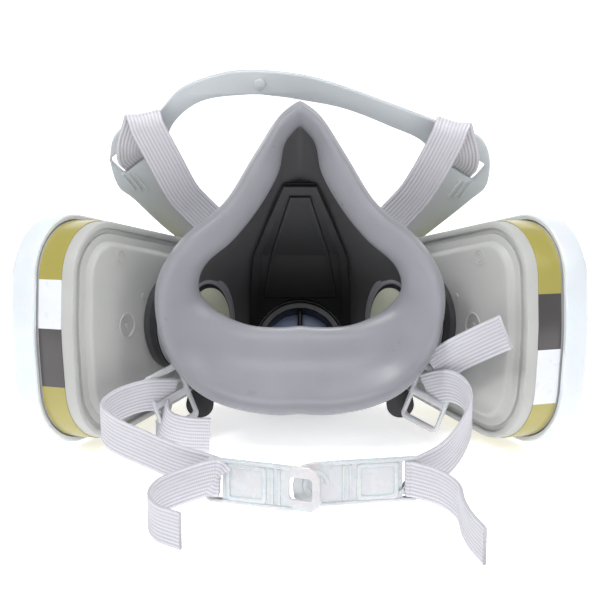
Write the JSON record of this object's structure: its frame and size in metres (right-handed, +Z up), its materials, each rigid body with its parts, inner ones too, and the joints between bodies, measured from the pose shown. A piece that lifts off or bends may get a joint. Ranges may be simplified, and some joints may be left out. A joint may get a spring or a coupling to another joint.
{
  "type": "half-face respirator mask",
  "caption": "Half-face elastomer respirator with swept-back filter cartridges, exhalation valve, head cradle and clasped neck straps.",
  "frame": {"origin": "centre of the face opening, on the seal's middle plane", "axes": "+X to the wearer's right (longest side), +Y the way the wearer looks, +Z up; the mask lies with its valve cover and cartridges on a surface 56 mm below the origin"},
  "size_m": [0.2068, 0.1776, 0.1316],
  "materials": {
    "grey_elastomer": "satin moulded elastomer",
    "black_plastic": "matt moulded",
    "pale_silicone": "thin pale flap",
    "blue_silicone": "thin bluish flap",
    "gasket_rubber": "soft ring",
    "clear_plastic": "frosted translucent",
    "webbing": "ribbed elastic webbing",
    "cradle_plastic": "smooth flexible plastic",
    "cartridge_plastic": "smooth moulded",
    "label_film": "printed film with plain colour blocks",
    "charcoal": "granules",
    "filter_felt": "felted fibre",
    "white_plastic": "slightly translucent white"
  },
  "bodies": {
    "facepiece": {"facepiece": "grey_elastomer", "center_adapter": "black_plastic", "harness_yoke": "black_plastic", "inhalation_port_left": "black_plastic", "inhalation_port_right": "black_plastic", "port_gasket_left": "gasket_rubber", "port_gasket_right": "gasket_rubber"},
    "exhalation_flap": {"exhalation_valve": "blue_silicone"},
    "valve_cover": {"exhalation_valve_cover": "black_plastic"},
    "inhalation_flap_left": {"inhalation_valve_left": "pale_silicone"},
    "inhalation_flap_right": {"inhalation_valve_right": "pale_silicone"},
    "upper_harness": {"upper_strap_left": "webbing", "upper_strap_right": "webbing"},
    "cradle": {"head_cradle": "cradle_plastic"},
    "neck_strap_left": {"lower_strap_left": "webbing", "strap_slider_left": "clear_plastic", "buckle_loop": "clear_plastic"},
    "neck_strap_right": {"lower_strap_right": "webbing", "strap_slider_right": "clear_plastic", "buckle_hook": "clear_plastic"},
    "cartridge_left": {"cartridge_body_left": "cartridge_plastic", "cartridge_lid_left": "cartridge_plastic", "cartridge_label_left": "label_film", "charcoal_bed_left": "charcoal", "outer_screen_left": "cartridge_plastic", "inner_filter_disc_left": "filter_felt"},
    "retainer_left": {"retainer_left": "white_plastic", "prefilter_pad_left": "filter_felt"},
    "cartridge_right": {"cartridge_body_right": "cartridge_plastic", "cartridge_lid_right": "cartridge_plastic", "cartridge_label_right": "label_film", "charcoal_bed_right": "charcoal", "outer_screen_right": "cartridge_plastic", "inner_filter_disc_right": "filter_felt"},
    "retainer_right": {"retainer_right": "white_plastic", "prefilter_pad_right": "filter_felt"}
  },
  "joints": [
    {"name": "cartridge_twist_left", "type": "hinge", "parent": "facepiece", "child": "cartridge_left", "pos_m": [-0.047, 0.033, -0.0171], "axis": [0.8434, -0.527, 0.1045], "range_deg": [0, 40]},
    {"name": "retainer_pull_left", "type": "slide", "parent": "cartridge_left", "child": "retainer_left", "axis": [-0.8434, 0.527, -0.1045], "range_m": [0, 0.025]},
    {"name": "inhalation_lift_left", "type": "slide", "parent": "facepiece", "child": "inhalation_flap_left", "axis": [0.8434, -0.527, 0.1045], "range_m": [0, 0.0012], "stiffness_N_per_m": 200},
    {"name": "cartridge_twist_right", "type": "hinge", "parent": "facepiece", "child": "cartridge_right", "pos_m": [0.047, 0.033, -0.0171], "axis": [0.8434, 0.527, -0.1045], "range_deg": [0, 40]},
    {"name": "retainer_pull_right", "type": "slide", "parent": "cartridge_right", "child": "retainer_right", "axis": [0.8434, 0.527, -0.1045], "range_m": [0, 0.025]},
    {"name": "inhalation_lift_right", "type": "slide", "parent": "facepiece", "child": "inhalation_flap_right", "axis": [-0.8434, -0.527, 0.1045], "range_m": [0, 0.0012], "stiffness_N_per_m": 200},
    {"name": "exhalation_lift", "type": "slide", "parent": "facepiece", "child": "exhalation_flap", "axis": [0, 0.9063, -0.4226], "range_m": [0, 0.0015], "stiffness_N_per_m": 200},
    {"name": "valve_cover_pull", "type": "slide", "parent": "facepiece", "child": "valve_cover", "axis": [0, 0.9063, -0.4226], "range_m": [0, 0.015]},
    {"name": "harness_swing", "type": "hinge", "parent": "facepiece", "child": "upper_harness", "pos_m": [0, 0.046, 0.01], "axis": [-1, 0, 0], "range_deg": [-16, 1]},
    {"name": "cradle_tilt", "type": "hinge", "parent": "upper_harness", "child": "cradle", "pos_m": [0, 0.0472, 0.0406], "axis": [1, 0, 0], "range_deg": [0, 1.5]},
    {"name": "neck_strap_left_swing", "type": "hinge", "parent": "facepiece", "child": "neck_strap_left", "pos_m": [-0.038, 0.017, -0.042], "axis": [0, 0, -1], "range_deg": [0, 8]},
    {"name": "neck_strap_right_swing", "type": "hinge", "parent": "facepiece", "child": "neck_strap_right", "pos_m": [0.038, 0.017, -0.042], "axis": [0, 0, 1], "range_deg": [0, 8]}
  ],
  "couplings": [
    {"joint": "neck_strap_right_swing", "follows": "neck_strap_left_swing", "ratio": 1}
  ]
}
